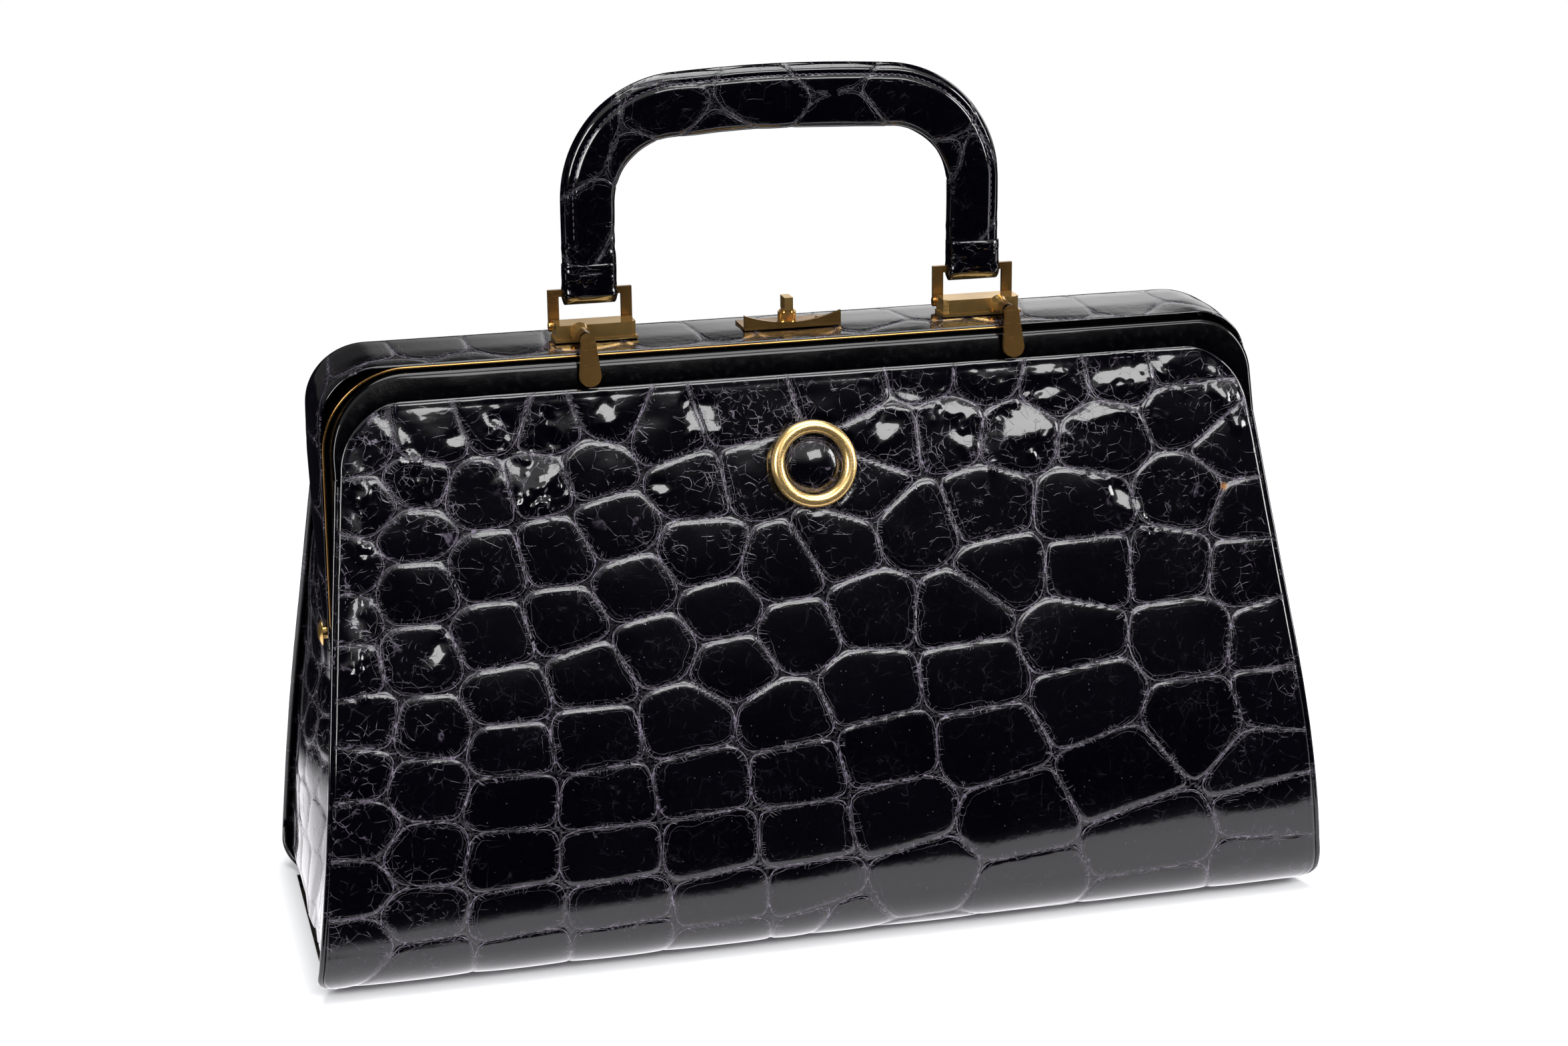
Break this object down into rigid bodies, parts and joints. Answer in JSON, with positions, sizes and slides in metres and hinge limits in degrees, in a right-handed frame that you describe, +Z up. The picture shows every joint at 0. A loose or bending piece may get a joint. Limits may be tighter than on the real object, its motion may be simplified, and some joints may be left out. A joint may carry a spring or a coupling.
{
  "type": "framed handbag",
  "caption": "Rigid-frame leather handbag with nested hinged frame halves, turn-lever closure, centre turn key and an arched handle on rings.",
  "frame": {"origin": "middle of the flat base, on the surface that the bag stands on", "axes": "+X to the right along the bag's width, -Y towards the front panel, +Z up"},
  "size_m": [0.3352, 0.1256, 0.2769],
  "materials": {
    "croc_leather": "glossy embossed",
    "band_leather": "glossy smooth",
    "gusset_leather": "glossy",
    "brass_fittings": "polished",
    "frame_brass": "polished",
    "frame_black": "gloss",
    "fibre_board": "matt",
    "lining_cloth": "matt",
    "steel_small": "satin",
    "handle_filler": "matt"
  },
  "bodies": {
    "bag_body": {"rear_frame": "frame_brass", "rear_frame_cover": "croc_leather", "rear_band": "band_leather", "rear_panel": "croc_leather", "rear_welt": "band_leather", "rear_board": "fibre_board", "front_panel": "croc_leather", "front_welt": "band_leather", "front_lower_board": "fibre_board", "base_panel": "croc_leather", "base_board": "fibre_board", "lining": "lining_cloth", "left_gusset": "gusset_leather", "right_gusset": "gusset_leather", "left_gusset_front": "gusset_leather", "right_gusset_front": "gusset_leather", "left_hinge_pin": "brass_fittings", "right_hinge_pin": "brass_fittings", "left_handle_bracket": "brass_fittings", "right_handle_bracket": "brass_fittings", "bracket_nuts": "steel_small", "clasp_plate": "brass_fittings", "clasp_rivets": "brass_fittings", "key_collar": "brass_fittings"},
    "front_half": {"front_frame": "frame_black", "front_band": "band_leather", "front_upper_board": "fibre_board", "front_lining": "lining_cloth", "medallion_ring": "brass_fittings", "medallion_disc": "croc_leather"},
    "left_turn_lever": {"left_lever": "brass_fittings"},
    "right_turn_lever": {"right_lever": "brass_fittings"},
    "handle_rings": {"left_ring": "brass_fittings", "right_ring": "brass_fittings"},
    "handle": {"handle_core": "handle_filler", "handle_front_leather": "croc_leather", "handle_back_leather": "croc_leather"},
    "key": {"turn_key": "brass_fittings", "key_cam": "steel_small"}
  },
  "joints": [
    {"name": "frame_hinge", "type": "hinge", "parent": "bag_body", "child": "front_half", "pos_m": [0, 0, 0.102], "axis": [1, 0, 0], "range_deg": [0, 50], "deforming": ["front_panel", "front_welt", "left_gusset_front", "right_gusset_front"]},
    {"name": "left_lever_turn", "type": "hinge", "parent": "front_half", "child": "left_turn_lever", "pos_m": [-0.0695, -0.0184, 0.1965], "axis": [0, 1, 0], "range_deg": [0, 90]},
    {"name": "right_lever_turn", "type": "hinge", "parent": "front_half", "child": "right_turn_lever", "pos_m": [0.0695, -0.0184, 0.1965], "axis": [0, -1, 0], "range_deg": [0, 90]},
    {"name": "ring_swing", "type": "hinge", "parent": "bag_body", "child": "handle_rings", "pos_m": [0, 0.0036, 0.1962], "axis": [-1, 0, 0], "range_deg": [-10, 75]},
    {"name": "handle_swing", "type": "hinge", "parent": "handle_rings", "child": "handle", "pos_m": [0, 0.0036, 0.207], "axis": [-1, 0, 0], "range_deg": [-20, 20]},
    {"name": "key_turn", "type": "hinge", "parent": "bag_body", "child": "key", "pos_m": [0, 0, 0.19], "axis": [0, 0, 1], "range_deg": [0, 90]}
  ]
}
